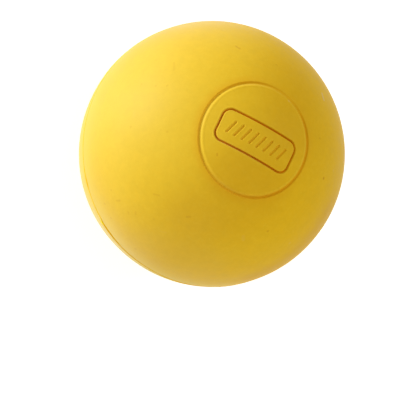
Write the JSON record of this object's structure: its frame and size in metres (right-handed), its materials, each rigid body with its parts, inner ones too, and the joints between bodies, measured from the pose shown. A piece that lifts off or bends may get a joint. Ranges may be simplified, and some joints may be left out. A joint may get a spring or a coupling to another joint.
{
  "type": "solid rubber ball",
  "caption": "Solid moulded rubber ball with a shallow moulded ring round its pole, a plain panel of slanted bars inside it, and a trimmed parting line round the middle.",
  "frame": {"origin": "centre of the ball", "axes": "+Z from the centre through the middle of the moulded ring, square to the parting plane; +X along the panel's length; +Y across the panel"},
  "size_m": [0.0602, 0.0602, 0.06],
  "materials": {
    "moulded_rubber": "warm yellow solid rubber, satin as it leaves the mould, faintly mottled",
    "trimmed_flash": "the same yellow rubber, duller where the flash has been trimmed"
  },
  "bodies": {
    "root": {"front_half": "moulded_rubber", "rear_half": "moulded_rubber", "parting_flash": "trimmed_flash"}
  },
  "joints": []
}
